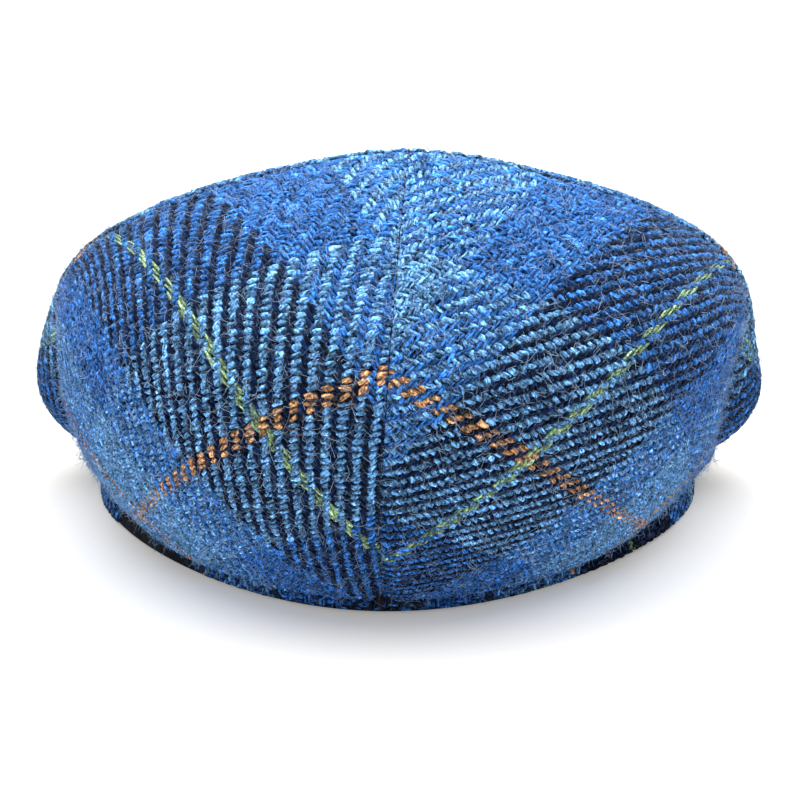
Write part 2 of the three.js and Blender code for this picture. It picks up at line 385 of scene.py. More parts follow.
def cloth_wall(name, face, normals, warp, weft, side, thickness=CLOTH, closed_ring=False):
    """A closed wall of cloth below a face: outer and inner side and the cut edges between them."""
    keep = [np.unique(np.append(np.arange(0, size, WALL_STRIDE), size - 1)) for size in face.shape[:2]]
    face, normals, warp, weft = (grid[np.ix_(*keep)] for grid in (face, normals, warp, weft))
    rows, columns = face.shape[:2]
    points = np.concatenate([(face - normals * depth).reshape(-1, 3) for depth in (BACKING_DEPTH, thickness)])
    index = np.arange(rows * columns).reshape(rows, columns)
    quads = []

    def add_quads(a, b, c, d):
        quads.append(np.stack([a, b, c, d], -1).reshape(-1, 4))

    inner = index + rows * columns
    add_quads(index[:-1, :-1], index[1:, :-1], index[1:, 1:], index[:-1, 1:])
    add_quads(inner[:-1, :-1], inner[:-1, 1:], inner[1:, 1:], inner[1:, :-1])
    add_quads(index[:-1, 0], inner[:-1, 0], inner[1:, 0], index[1:, 0])
    add_quads(index[:-1, -1], index[1:, -1], inner[1:, -1], inner[:-1, -1])
    if not closed_ring:
        add_quads(index[0, :-1], index[0, 1:], inner[0, 1:], inner[0, :-1])
        add_quads(index[-1, :-1], inner[-1, :-1], inner[-1, 1:], index[-1, 1:])
    quads = np.concatenate(quads)
    if closed_ring:
        last = np.isin(quads, np.concatenate([index[-1], inner[-1]]))
        quads = np.where(last, quads - (rows - 1) * columns, quads)
    triangles = np.concatenate([quads[:, [0, 1, 2]], quads[:, [0, 2, 3]]])
    if side < 0:
        triangles = triangles[:, ::-1]
    # Painted shade: the mixed colour is darkened by a fixed share, on the outer and the inner side alike
    mixed = BACKING_PAINTED_SHADE * mixed_colour(warp - 0.5, weft - 0.5)
    threads = np.column_stack([warp.ravel(), weft.ravel()])
    return mesh_object(name, points, triangles, np.tile(mixed, (2, 1)),
                       {"threads": np.tile(threads, (2, 1))}, backing)


WARP_FLOAT = (1.42, 0.55)         # half length and half width in threads: a float lies over two threads
WEFT_FLOAT = (1.52, 0.57)         # and dives under the next
FLOAT_RISE = 0.52                 # height of a float's top over the face
FLOAT_SUNK = 0.62                 # depth of its sides and ends below the face
FLOAT_TAPER = (0.5, 2.2)          # how much narrower it is at its ends, and how late that sets in
FLOAT_DIVE = (0.35, 2.5)          # share of its sunk depth that its top dives to, and how late
FLOAT_ROUND = 0.3                 # how round its top is across, as a share of its height
FLOAT_UNEVEN = 0.15               # how much the floats differ in size, as a share
RISE_UNEVEN = (0.08, 0.05)        # in height, from float to float and from spot to spot
FLOAT_SKEW = 0.13                 # and in the way they lie
FLOAT_LUMPS = 0.26                # how far a float's surface is out of true, in grid cells
DYE_SPREAD = 0.20                 # how much the shade changes from float to float
HEATHER_SPREAD = 0.32             # and from spot to spot of one float
YARN_STREAKS = (0.5, 2.2)         # scale of the yarn's streaks along and across it
YARN_TWIST = 0.6                  # their slant
STREAK_SPREAD = 50.0              # spread of the floats over the streaks, so that no two are alike
BAKE_SHARE = 0.42                 # half size of a float in its own cell of the map for baking
TWILL_REPEAT = 4                  # threads from a float to the next in its line
HALF_CELL = 0.5001                # half a grid cell, and a little to spare
PLAIN_FLOAT = dict(rings=(-0.5, 0.5), shoulders=(0.0,))    # simpler floats for the pieces that show less
SEAM_INSET = 0.45                 # grid cells that the floats keep away from an edge
EDGE_CELLS = 2                    # grid cells beyond an edge where cut floats still fill the seam


def float_shape(rings, shoulders):
    """The plump body of one float: points as shares along and across it and a height, and its triangles."""
    points = [(-1.0, 0.0, -FLOAT_SUNK)]
    for a in rings:
        width = 1 - FLOAT_TAPER[0] * abs(a) ** FLOAT_TAPER[1]
        rise = FLOAT_RISE - (FLOAT_RISE + FLOAT_DIVE[0] * FLOAT_SUNK) * abs(a) ** FLOAT_DIVE[1]
        points.append((a, -width, -FLOAT_SUNK))
        points += [(a, width * b, rise - FLOAT_ROUND * (FLOAT_RISE + FLOAT_SUNK) * b * b) for b in shoulders]
        points.append((a, width, -FLOAT_SUNK))
    points.append((1.0, 0.0, -FLOAT_SUNK))
    around = len(shoulders) + 2
    tip = len(points) - 1
    triangles = []
    for k in range(around):
        beside = (k + 1) % around
        triangles.append((0, 1 + beside, 1 + k))
        for ring in range(len(rings) - 1):
            a, b = 1 + ring * around, 1 + (ring + 1) * around
            triangles += [(a + k, a + beside, b + beside), (a + k, b + beside, b + k)]
        last = 1 + (len(rings) - 1) * around
        triangles.append((last + k, last + beside, tip))
    return np.array(points), np.array(triangles)


def sample_face(grid, row, column):
    """Values of a grid at fractional places, which are held at its edges."""
    row = np.clip(row, 0, grid.shape[0] - 1)
    column = np.clip(column, 0, grid.shape[1] - 1)
    i = np.minimum(row.astype(int), grid.shape[0] - 2)
    j = np.minimum(column.astype(int), grid.shape[1] - 2)
    f, g = (row - i)[..., None], (column - j)[..., None]
    near = grid[i, j] * (1 - f) + grid[i + 1, j] * f
    far = grid[i, j + 1] * (1 - f) + grid[i + 1, j + 1] * f
    return near * (1 - g) + far * g


def nearest_float(count, first):
    """The middle of the float that is nearest to a thread count, in a line with a float at first."""
    return first + TWILL_REPEAT * np.round((count - first) / TWILL_REPEAT)


def weave(name, face, normals, warp, weft, twill, seed, rings=(-0.62, 0.0, 0.62), shoulders=(-0.5, 0.5)):
    """All the floats of a 2/2 twill over a face whose grid gives the thread count of each point."""
    rng = np.random.default_rng(seed)
    u, w = (np.pad(grid, EDGE_CELLS, mode="reflect", reflect_type="odd") for grid in (warp, weft))
    mid_u, mid_w = ((g[:-1, :-1] + g[1:, :-1] + g[:-1, 1:] + g[1:, 1:]) / 4 for g in (u, w))
    along = [(g[1:, :-1] + g[1:, 1:] - g[:-1, :-1] - g[:-1, 1:]) / 2 for g in (u, w)]
    up = [(g[:-1, 1:] + g[1:, 1:] - g[:-1, :-1] - g[1:, :-1]) / 2 for g in (u, w)]
    area = along[0] * up[1] - along[1] * up[0]
    area = np.where(np.abs(area) < 1e-6, np.inf, area)
    points, colours, maps, triangles = [], [], [], []
    shape, faces = float_shape(rings, shoulders)
    count = 0
    for is_warp in (True, False):
        # The floats of each thread lie one thread further than its neighbour's, which gives slanting ribs
        if is_warp:
            thread = np.floor(mid_u)
            first = twill * thread + (0 if twill > 0 else 1)
            at_u, at_w = thread + 0.5, nearest_float(mid_w, first)
        else:
            thread = np.floor(mid_w)
            first = twill * thread + 3
            at_u, at_w = nearest_float(mid_u, first), thread + 0.5
        # A grid cell holds a float where the float's middle falls inside it
        du, dw = at_u - mid_u, at_w - mid_w
        row = (du * up[1] - dw * up[0]) / area
        column = (dw * along[0] - du * along[1]) / area
        inside = np.nonzero((np.abs(row) <= HALF_CELL) & (np.abs(column) <= HALF_CELL))
        keys = np.stack([at_u[inside], at_w[inside]], -1)
        _, first_seen = np.unique(keys, axis=0, return_index=True)
        i, j = (part[first_seen] for part in inside)
        n = len(i)
        # Each float is laid out in threads, and then placed on the grid and lifted off the face
        half_length, half_width = WARP_FLOAT if is_warp else WEFT_FLOAT
        lie = shape[:, 0] * half_length
        cross = shape[:, 1] * half_width
        size = 1 + FLOAT_UNEVEN * rng.standard_normal((n, 2, 1))
        skew = FLOAT_SKEW * rng.standard_normal((n, 1))
        lies, crosses = lie * size[:, 0], cross * size[:, 1] + skew * lie
        step_u, step_w = (crosses, lies) if is_warp else (lies, crosses)
        det = area[i, j][:, None]
        at_row = i[:, None] + 0.5 - EDGE_CELLS + row[i, j][:, None]
        at_column = j[:, None] + 0.5 - EDGE_CELLS + column[i, j][:, None]
        at_row = at_row + (step_u * up[1][i, j][:, None] - step_w * up[0][i, j][:, None]) / det
        at_column = at_column + (step_w * along[0][i, j][:, None] - step_u * along[1][i, j][:, None]) / det
        at_row, at_column = (spot + FLOAT_LUMPS * rng.standard_normal(spot.shape)
                             for spot in (at_row, at_column))
        at_row = np.clip(at_row, SEAM_INSET, face.shape[0] - 1 - SEAM_INSET)
        at_column = np.clip(at_column, SEAM_INSET, face.shape[1] - 1 - SEAM_INSET)
        uneven = RISE_UNEVEN[0] * rng.standard_normal((n, 1))
        uneven = uneven + RISE_UNEVEN[1] * rng.standard_normal((n, len(shape)))
        lift = shape[:, 2] + uneven * (shape[:, 2] > 0)
        raised = sample_face(normals, at_row, at_column) * lift[..., None]
        place = sample_face(face, at_row, at_column) + raised
        dye = stripe_colour(thread[i, j], WARP_STRIPES if is_warp else WEFT_STRIPES)
        dye = dye * np.exp(DYE_SPREAD * rng.standard_normal((n, 1)))
        heather = np.exp(HEATHER_SPREAD * rng.standard_normal((n, len(shape), 1)))
        points.append(place.reshape(-1, 3))
        colours.append((dye[:, None] * heather).reshape(-1, 3))
        pitch = WEFT_PITCH if is_warp else WARP_PITCH
        start = rng.uniform(0, STREAK_SPREAD, (n, 2))
        yarn_map = np.stack([YARN_STREAKS[0] * lie * pitch + shape[:, 1],
                             shape[:, 1] * YARN_STREAKS[1] + YARN_TWIST * lie], -1)
        maps.append((yarn_map[None] + start[:, None]).reshape(-1, 2))
        turned = faces if is_warp else faces[:, ::-1]
        triangles.append((turned[None] + (count + np.arange(n) * len(shape))[:, None, None]).reshape(-1, 3))
        count += n * len(shape)
    points, triangles = np.concatenate(points), np.concatenate(triangles)
    # On the map for baking each float has a cell of its own
    whole = count // len(shape)
    cells = int(np.ceil(np.sqrt(whole)))
    cell = np.stack([np.arange(whole) % cells, np.arange(whole) // cells], -1)
    spot = 0.5 + BAKE_SHARE * shape[:, :2]
    bake = ((cell[:, None] + spot[None]) / cells).reshape(-1, 2)
    facing = np.sign(np.median(area[np.isfinite(area)]))
    handed = np.cross(np.gradient(face, axis=0), np.gradient(face, axis=1))
    facing *= np.sign(np.median((handed * normals).sum(-1)))
    if facing < 0:
        triangles = triangles[:, ::-1]
    return mesh_object(name, points, triangles, np.concatenate(colours),
                       {"yarn": np.concatenate(maps), "OFBake": bake}, yarn)


# How each panel was cut and pressed into shape: threads from an orange line at the panel's middle, threads
# crossed for each millimetre along the panel and up it, and how these change along, between and up
SIDE_CUTS = dict(
    right=dict(side=1, twill=1, warp=(63.5, 0.575, -0.673, -0.0022, -0.0015, 0.0030),
               weft=(6.2, 0.373, 0.527, 0.0004, -0.0020, -0.0008)),
    left=dict(side=-1, twill=-1, warp=(73.9, 0.635, -0.622, -0.0019, -0.0024, 0.0022),
              weft=(3.4, 0.352, 0.499, 0.0016, -0.0017, -0.0008)),
)
PANEL_MIDDLE = (40.0, 60.0)       # from the centre back seam and from the tuck
BEND_REACH = 55.0                 # the threads run straight on beyond this distance from the middle


def thread_count(cut, from_back, from_tuck):
    """Threads counted at each point of a side panel, for one system of its cut."""
    start, per_along, per_up, bend_along, twist, bend_up = cut
    along, up = from_back - PANEL_MIDDLE[0], from_tuck - PANEL_MIDDLE[1]
    near = np.minimum(along, BEND_REACH)
    bend = bend_along * near * (2 * along - near) + twist * near * up + bend_up * up * up
    return start + per_along * along + per_up * up + bend


STRAIGHT_FROM = 150               # grid row where the back ends and the threads run on round the side
STRAIGHT_BY = 270                 # grid row where they lie quite straight
SIDE_SLANT = np.radians(28)       # turn of the cloth there
SIDE_SLOPES = dict(               # threads crossed for each millimetre forwards and up
    warp=(np.sin(SIDE_SLANT) / WARP_PITCH, -np.cos(SIDE_SLANT) / WARP_PITCH),
    weft=(np.cos(SIDE_SLANT) / WEFT_PITCH, np.sin(SIDE_SLANT) / WEFT_PITCH),
)


def straight_on(threads, face, slopes):
    """The thread count with straight cloth round the side, where the misfit to the back fades out."""
    straight = face[..., 1] * slopes[0] + face[..., 2] * slopes[1]
    misfit = threads[STRAIGHT_FROM] - straight[STRAIGHT_FROM]
    row = np.arange(len(face))[:, None]
    left = 1 - ease(row, STRAIGHT_FROM, STRAIGHT_BY)
    return np.where(row > STRAIGHT_FROM, straight + blend(misfit.mean(), misfit, left), threads)


SEAM_OVERLAP = 1.8                # reach of the wall under the top panel low in front, to shut the seam
SEAM_VALLEY = (60.0, 85.0)        # heights between which this fades out
SEAM_DEPTH = 1.1                  # how deep the cloth is drawn in along a seam, and how far that reaches
SEAM_REACH = 2.6
BACK_FOLD = 1.1                   # the sharp fold at the stitches of the centre back seam
TOP_FOLD = 0.3                    # and of the top seam, which lies flatter
FOLD_REACH = 0.55


def seam_dip(distance, fold):
    """How deep the cloth lies below its smooth shape, at a distance from a seam."""
    return SEAM_DEPTH * np.exp(-(distance / SEAM_REACH) ** 2) + fold * np.exp(-(distance / FOLD_REACH) ** 2)


rows, columns = np.meshgrid(np.linspace(0, len(SIDE_SECTIONS["rim"]) - 1, SIDE_STEPS[0]),
                            np.linspace(0, 1, SIDE_STEPS[1]), indexing="ij")
side_face = side_point(rows, columns)
side_normals = outward(side_face)
side_normals[0, :, 0] = 0
side_normals[0] /= np.linalg.norm(side_normals[0], axis=-1, keepdims=True)
from_back = run_length(side_face, 0)
from_tuck = run_length(side_face, 1)
counts = {(hand, system): straight_on(thread_count(cut[system], from_back, from_tuck), side_face, slopes)
          for hand, cut in SIDE_CUTS.items() for system, slopes in SIDE_SLOPES.items()}
dip = np.maximum(seam_dip(from_back, BACK_FOLD), seam_dip(from_tuck[:, -1:] - from_tuck, TOP_FOLD))
side_face = side_face - side_normals * dip[..., None]
# Low in front the seam lies in a valley, and the wall's upper edge is drawn under the top panel
seam_reach = side_face[:, -1] - side_face[:, -2]
seam_reach /= np.maximum(np.linalg.norm(seam_reach, axis=-1, keepdims=True), 1e-6)
seam_reach *= np.interp(side_face[:, -1, 2], SEAM_VALLEY, (SEAM_OVERLAP, 0.0))[:, None]
crown_faces = []                  # the cloth faces that fibres stand on
for hand, cut in SIDE_CUTS.items():
    turned = np.array([cut["side"], 1, 1])
    face = lean(side_face * turned)
    normals = outward(face, cut["side"])
    warp, weft = counts[hand, "warp"], counts[hand, "weft"]
    wall_face = face.copy()
    wall_face[:, -1] += seam_reach * turned
    wall = cloth_wall("side_cloth_" + hand, wall_face, side_normals * turned, warp, weft, cut["side"])
    floats = weave("side_weave_" + hand, face, normals, warp, weft, cut["twill"], seed=11 + cut["side"])
    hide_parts("side_panel_" + hand)
    for piece in (wall, floats):
        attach(piece, "root")
    crown_faces.append((face, cut["side"], warp, weft))

# Top panel
# One panel of the same cloth that covers the top and the front, cut straight with its warp across the cap.
# It is sewn to the side panels all along their upper edge and is caught down on the peak at the front.
TOP_STEPS = (420, 400)
TOP_CUT = dict(orange_from_spine=0.5, orange_from_back=30.0)    # places of the orange lines


def top_point(row, w):
    """The top panel at a section row, from the right edge (w = 1) over the spine to the left (w = -1)."""
    columns = (section_column(TOP_SECTIONS, name, row) for name in TOP_SECTIONS)
    edge_x, edge_y, edge_z, spine_y, spine_z, roll = columns
    roll = np.radians(roll)
    angle = roll * w
    rise = (np.cos(angle) - np.cos(roll)) / (1 - np.cos(roll))
    return np.stack([edge_x * np.sin(angle) / np.sin(roll), blend(spine_y, edge_y, np.abs(w)),
                     blend(edge_z, spine_z, rise)], -1)


def top_outward(points):
    """Outward normals of the top panel, with one for the whole point that each end runs into."""
    normals = outward(points)
    normals[0], normals[-1] = normals[2].mean(0), normals[-3].mean(0)
    return normals / np.linalg.norm(normals, axis=-1, keepdims=True)


rows, columns = np.meshgrid(np.linspace(0, len(TOP_SECTIONS["roll"]) - 1, TOP_STEPS[0]),
                            np.linspace(1, -1, TOP_STEPS[1]), indexing="ij")
top_face = top_point(rows, columns)
smooth_normals = top_outward(top_face)
from_edge = run_length(top_face, 1)
dip = seam_dip(np.minimum(from_edge, from_edge[:, -1:] - from_edge), TOP_FOLD)
top_face = lean(top_face - smooth_normals * dip[..., None])
top_normals = top_outward(top_face)
across_top = run_length(top_face[..., [0, 2]], 1)
spine = TOP_STEPS[1] // 2
across_top = across_top - across_top[:, spine:spine + 1]
spine_run = run_length(top_face[:, spine:spine + 1], 0)[:, 0]
along_top = np.interp(top_face[..., 1], top_face[:, spine, 1], spine_run)
before = top_face[..., 1] < top_face[0, spine, 1]
along_top = np.where(before, top_face[..., 1] - top_face[0, spine, 1], along_top)
warp = (along_top - TOP_CUT["orange_from_back"]) / WARP_PITCH
weft = (across_top + TOP_CUT["orange_from_spine"]) / WEFT_PITCH
wall = cloth_wall("top_cloth", top_face, smooth_normals, warp, weft, 1)
floats = weave("top_weave", top_face, top_normals, warp, weft, 1, seed=21, **PLAIN_FLOAT)
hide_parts("top_panel")
for piece in (wall, floats):
    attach(piece, "root")
crown_faces.append((top_face, 1, warp, weft))

# Rim band
# An upright strip of the cloth round the head opening, folded at its lower edge and joined at both sides.
# Its back piece goes from navy in the middle to light blue at the joins, and its side pieces are navy.
BAND_HEIGHT = rim_high[2] - rim_low[2]
BAND_STEPS = (700, 24)
BAND_SHOWN = np.s_[:, :19]        # the part of its grid that shows below the panels
BAND_FOOT = 0.4                   # its lower edge lies this far above the floor
BAND_STRIPE = 25.0                # threads from an orange weft line to the strip's lower edge
BAND_SIDE_STRIPE = 56.0           # and on the side pieces, which lie in the navy stripe
BAND_JOIN = 62.0                  # the strip is joined at this distance from the centre back, on both sides
BAND_ORANGE = 60.0                # place of the orange lines on the back piece
BAND_GREEN = 88.0                 # and of the green lines on the side pieces
angles, heights = np.meshgrid(np.linspace(0, 360, BAND_STEPS[0]),
                              np.linspace(BAND_FOOT, BAND_HEIGHT, BAND_STEPS[1]), indexing="ij")
band_x, band_y = rim_point(angles, 0.0)
band_face = np.stack([band_x, band_y, heights], -1)
band_normals = outward(band_face)
band_normals[0] = band_normals[-1] = (band_normals[0] + band_normals[-1]) / 2
band_run = run_length(band_face, 0)
band_run = np.where(band_run > band_run[-1] / 2, band_run - band_run[-1], band_run)
on_side = (np.abs(band_run) > BAND_JOIN) * np.sign(band_run)
back_piece = band_run - np.sign(band_run) * BAND_ORANGE
side_piece = band_run - on_side * BAND_GREEN + WARP_STRIPES[-1] * WARP_PITCH
warp = np.where(on_side == 0, back_piece, side_piece) / WARP_PITCH
weft = np.where(on_side == 0, BAND_STRIPE, BAND_SIDE_STRIPE) + heights / WEFT_PITCH
wall = cloth_wall("band_cloth", band_face, band_normals, warp, weft, 1, closed_ring=True)
floats = weave("band_weave", band_face[BAND_SHOWN], band_normals[BAND_SHOWN], warp[BAND_SHOWN],
               weft[BAND_SHOWN], 1, seed=31, **PLAIN_FLOAT)
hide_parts("rim_band")
for piece in (wall, floats):
    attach(piece, "root")

# Peak
# A stiff crescent at the front, covered in the cloth on both faces, with a rounded edge where they meet.
# Its inner edge is sewn to the band, and the top panel is caught down on its upper face.
PEAK_THICKNESS = 3.0
HORN_ANGLE = 115.0                # degrees round the rim where the peak's horns end
PEAK_HALF_WIDTH = 95.0
PEAK_PROJECTION = 51.0
HORN_Z = 6.0
PEAK_ARCH = 3.4                   # how much higher its middle lies than the horns
PEAK_DROP = 2.4                   # and how much of that its outer edge loses
PEAK_ORANGE = (60.0, 20.0)        # places of the cloth's orange lines, left of the middle and back from it
PEAK_STEPS = (420, 110)
EDGE_SHARE = 0.06                 # share of the steps that go round the outer edge


def peak_point(t, f):
    """The peak's upper face: round from the left horn to the right (t), and out from the rim (f)."""
    inner_x, inner_y = rim_point(blend(360 - HORN_ANGLE, HORN_ANGLE, t), BAND_GAP)
    horn_y = rim_point(np.array(HORN_ANGLE), BAND_GAP)[1]
    angle = np.pi * (t - 0.5)
    outer_x = PEAK_HALF_WIDTH * np.sin(angle)
    outer_y = blend(horn_y, RIM_HALF_LENGTH + PEAK_PROJECTION, np.cos(angle))
    z = HORN_Z + (PEAK_ARCH - PEAK_DROP * f * f) * np.cos(angle)
    return np.stack([blend(inner_x, outer_x, f), blend(inner_y, outer_y, f), z], -1)


shares, outs = np.meshgrid(np.linspace(0, 1, PEAK_STEPS[0]), np.linspace(0, 1, PEAK_STEPS[1]), indexing="ij")
flat_outs = np.clip(outs / (1 - EDGE_SHARE), 0, 1)
turn = np.clip((outs - 1 + EDGE_SHARE) / EDGE_SHARE, 0, 1) * np.pi / 2
upper = peak_point(shares, flat_outs)
away = np.gradient(upper, axis=0)[..., :2]
away = np.stack([-away[..., 1], away[..., 0], np.zeros(PEAK_STEPS)], -1)
away /= np.linalg.norm(away, axis=-1, keepdims=True)
upward = outward(peak_point(shares, outs))
half = PEAK_THICKNESS / 2
# The faces end short of the outline, and from there a quarter turn each makes the rounded edge
core = upper - upward * half - away * half * flat_outs[..., None] ** 4
swing_out = away * (half * np.sin(turn))[..., None]
swing_up = upward * (half * np.cos(turn))[..., None]
peak_faces = (("upper", core + swing_out + swing_up, 1), ("under", core + swing_out - swing_up, -1))
for name, face, side in peak_faces:
    normals = outward(face, side)
    warp = (face[..., 0] + PEAK_ORANGE[0]) / WARP_PITCH
    weft = (face[..., 1] + PEAK_ORANGE[1] * side) / WEFT_PITCH
    wall = cloth_wall("peak_cloth_" + name, face, normals, warp, weft, side, thickness=half)
    floats = weave("peak_weave_" + name, face, normals, warp, weft, 1, seed=41 + side, **PLAIN_FLOAT)
    if side > 0:
        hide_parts("peak")
        crown_faces.append((face, side, warp, weft))
    for piece in (wall, floats):
        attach(piece, "root")

# Stray fibres
# Loose ends of wool that stand out of the twill all over: a short nap of fine ends that lie over the yarn in
# its own colours, and longer pale strands that curl.
FIBRE_SHARE = dict(right=1.0, left=1.0, top=0.42, peak=0.5)    # how thick they grow on each piece
NAP_TILT = (1.0, 1.5)             # least and most tilt from the upright, in radians
STRAND_TILT = (0.95, 1.5)
FULL_TURN = 6.283
SHORTEST = 0.4                    # the shortest fibre, as a share of the longest
STRAND_POINTS = 4
WAVE_SCALE = 460.0                # waves of the curls for each metre
SHEET_STRIDE = 4                  # cells of a face's grid to one of the sheet that the fibres grow on


def fibre_material(name, pale, palest):
    """Wool fibre between the colour of the cloth under it and a pale tone, up to some share of it."""
    material, tree, shader = new_material(name, {"Roughness": 0.7, "Specular IOR Level": 0.2})
    dye = add_node(tree, "ShaderNodeAttribute", attribute_name="yarn_colour")
    each = add_node(tree, "ShaderNodeNewGeometry")
    share = map_range(tree, 0.0, 1.0, 0.0, palest)
    tone = add_node(tree, "ShaderNodeMix", {"B": (*pale, 1)}, data_type="RGBA")
    link_nodes(
        tree,
        (each, "Random Per Island", share, "Value"),
        (share, "Result", tone, "Factor"),
        (dye, "Color", tone, "A"),
        (tone, "Result", shader, "Base Color"),
    )
    return material


def scattered_tree(name, tilt):
    """The start of a tree that scatters fibres over a cloth: its points, their turn and their length."""
    tree = bpy.data.node_groups.new(name, "GeometryNodeTree")
    tree.interface.new_socket("Cloth", in_out="INPUT", socket_type="NodeSocketGeometry")
    for socket in ("Density", "Length", "Thickness", "Curl"):
        tree.interface.new_socket(socket, in_out="INPUT", socket_type="NodeSocketFloat")
    tree.interface.new_socket("Seed", in_out="INPUT", socket_type="NodeSocketInt")
    tree.interface.new_socket("Wool", in_out="INPUT", socket_type="NodeSocketMaterial")
    tree.interface.new_socket("Fibres", in_out="OUTPUT", socket_type="NodeSocketGeometry")
    given = add_node(tree, "NodeGroupInput")
    scatter = add_node(tree, "GeometryNodeDistributePointsOnFaces")
    lay = add_node(tree, "FunctionNodeRandomValue", {0: (tilt[0], 0.0, 0.0), 1: (tilt[1], 0.0, FULL_TURN)},
                   data_type="FLOAT_VECTOR")
    turn = add_node(tree, "FunctionNodeEulerToRotation")
    lie_over = add_node(tree, "FunctionNodeRotateRotation", rotation_space="LOCAL")
    share = add_node(tree, "FunctionNodeRandomValue", {2: SHORTEST, 3: 1.0})
    length = add_node(tree, "ShaderNodeMath", operation="MULTIPLY")
    place_fibres = add_node(tree, "GeometryNodeInstanceOnPoints")
    link_nodes(
        tree,
        (given, "Cloth", scatter, "Mesh"),
        (given, "Density", scatter, "Density"),
        (given, "Seed", scatter, "Seed"),
        (given, "Seed", lay, "Seed"),
        (lay, 0, turn, "Euler"),
        (scatter, "Rotation", lie_over, "Rotation"),
        (turn, "Rotation", lie_over, "Rotate By"),
        (share, 1, length, 0),
        (given, "Length", length, 1),
        (scatter, "Points", place_fibres, "Points"),
        (lie_over, "Rotation", place_fibres, "Rotation"),
    )
    return tree, given, length, place_fibres


def finish_tree(tree, given, fibres):
    """The end of such a tree, which gives the fibres their material."""
    dress = add_node(tree, "GeometryNodeSetMaterial")
    result = add_node(tree, "NodeGroupOutput")
    link_nodes(
        tree,
        (*fibres, dress, "Geometry"),
        (given, "Wool", dress, "Material"),
        (dress, "Geometry", result, "Fibres"),
    )
    return tree


def nap_tree():
    """Short straight ends that taper to a point."""
    tree, given, length, place_fibres = scattered_tree("short_nap", NAP_TILT)
    end = add_node(tree, "GeometryNodeMeshCone",
                   {"Vertices": 3, "Radius Top": 0.0, "Radius Bottom": 1.0, "Depth": 1.0})
    size = add_node(tree, "ShaderNodeCombineXYZ")
    realize = add_node(tree, "GeometryNodeRealizeInstances")
    link_nodes(
        tree,
        (given, "Thickness", size, "X"),
        (given, "Thickness", size, "Y"),
        (length, "Value", size, "Z"),
        (end, "Mesh", place_fibres, "Instance"),
        (size, "Vector", place_fibres, "Scale"),
        (place_fibres, "Instances", realize, "Geometry"),
    )
    return finish_tree(tree, given, (realize, "Geometry"))


def strand_tree():
    """Longer strands that rise out of the cloth and curl more and more towards their ends."""
    tree, given, length, place_fibres = scattered_tree("curly_strands", STRAND_TILT)
    line = add_node(tree, "GeometryNodeCurvePrimitiveLine", {"End": (0.0, 0.0, 1.0)})
    steps = add_node(tree, "GeometryNodeResampleCurve", {"Count": STRAND_POINTS})
    realize = add_node(tree, "GeometryNodeRealizeInstances")
    waves = add_node(tree, "ShaderNodeTexNoise", {"Scale": WAVE_SCALE, "Detail": 0.0})
    place = add_node(tree, "GeometryNodeInputPosition")
    centred = add_node(tree, "ShaderNodeVectorMath", {1: (0.5, 0.5, 0.5)}, operation="SUBTRACT")
    along = add_node(tree, "GeometryNodeSplineParameter")
    amount = add_node(tree, "ShaderNodeMath", operation="MULTIPLY")
    offset = add_node(tree, "ShaderNodeVectorMath", operation="SCALE")
    curl = add_node(tree, "GeometryNodeSetPosition")
    section = add_node(tree, "GeometryNodeCurvePrimitiveCircle", {"Resolution": 3})
    tube = add_node(tree, "GeometryNodeCurveToMesh", {"Fill Caps": True})
    link_nodes(
        tree,
        (line, "Curve", steps, "Curve"),
        (steps, "Curve", place_fibres, "Instance"),
        (length, "Value", place_fibres, "Scale"),
        (place_fibres, "Instances", realize, "Geometry"),
        (place, "Position", waves, "Vector"),
        (waves, "Color", centred, 0),
        (along, "Factor", amount, 0),
        (given, "Curl", amount, 1),
        (centred, "Vector", offset, 0),
        (amount, "Value", offset, "Scale"),
        (realize, "Geometry", curl, "Geometry"),
        (offset, "Vector", curl, "Offset"),
        (curl, "Geometry", tube, "Curve"),
        (given, "Thickness", section, "Radius"),
        (section, "Curve", tube, "Profile Curve"),
    )
    return finish_tree(tree, given, (tube, "Mesh"))


def fibres_over(name, cloth, tree, sizes):
    """A plain mesh of the fibres over one cloth face, in the mixed colour of the threads under them."""
    face, side, warp, weft = cloth
    rows, columns = (np.arange(0, size, SHEET_STRIDE) for size in face.shape[:2])
    face, warp, weft = (grid[np.ix_(rows, columns)] for grid in (face, warp, weft))
    face = (face + CAP_PLACE) * MM
    index = np.arange(len(rows) * len(columns)).reshape(len(rows), len(columns))
    quads = np.stack([index[:-1, :-1], index[1:, :-1], index[1:, 1:], index[:-1, 1:]], -1).reshape(-1, 4)
    sheet_mesh = bpy.data.meshes.new(name + "_sheet")
    sheet_mesh.from_pydata(face.reshape(-1, 3).tolist(), [], quads[:, ::side].tolist())
    dye_points(sheet_mesh, mixed_colour(warp, weft))
    sheet = bpy.data.objects.new(name + "_sheet", sheet_mesh)
    bpy.context.scene.collection.objects.link(sheet)
    scatter = sheet.modifiers.new("fibres", "NODES")
    scatter.node_group = tree
    for item in tree.interface.items_tree:
        if item.in_out == "INPUT" and item.name in sizes:
            scatter[item.identifier] = sizes[item.name]
    bpy.context.view_layer.update()
    grown = bpy.data.meshes.new_from_object(sheet.evaluated_get(bpy.context.evaluated_depsgraph_get()))
    grown.name = name
    # Realized instances bring an empty slot along, which no face uses
    for empty in [slot for slot, wool in enumerate(grown.materials) if wool is None][::-1]:
        grown.materials.pop(index=empty)
    piece = bpy.data.objects.new(name, grown)
    bpy.context.scene.collection.objects.link(piece)
    bpy.data.objects.remove(sheet)
    bpy.data.meshes.remove(sheet_mesh)
    return piece


